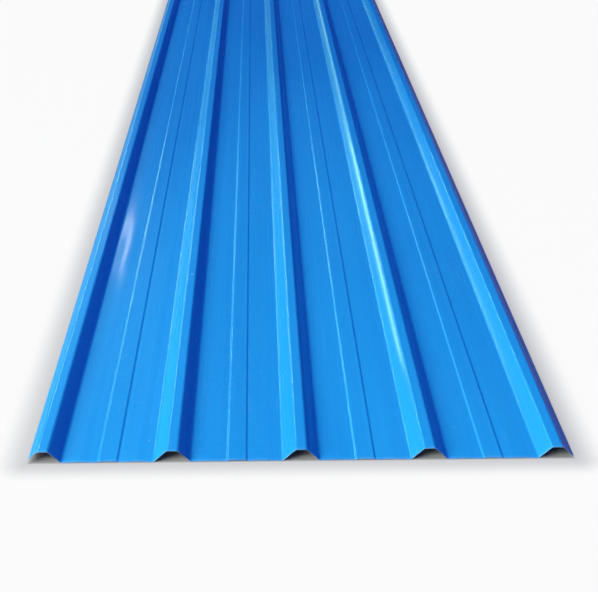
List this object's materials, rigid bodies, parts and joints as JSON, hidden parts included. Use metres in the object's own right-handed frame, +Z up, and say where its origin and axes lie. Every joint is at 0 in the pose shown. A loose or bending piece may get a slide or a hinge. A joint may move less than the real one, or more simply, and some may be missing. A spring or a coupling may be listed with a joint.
{
  "type": "corrugated metal sheet",
  "caption": "Long roofing sheet of thin painted steel with trapezoidal ribs, shallow pan stiffeners and side-lap edges.",
  "frame": {"origin": "on the floor, under the middle of the sheet", "axes": "+X across the ribs towards the underlap edge, +Y along the ribs, +Z up"},
  "size_m": [0.8902, 5, 0.0205],
  "materials": {
    "blue_paint": "glossy baked blue paint on the top face, pale backing coat below, bare cut ends"
  },
  "bodies": {
    "root": {"corrugated_sheet": "blue_paint"}
  },
  "joints": []
}
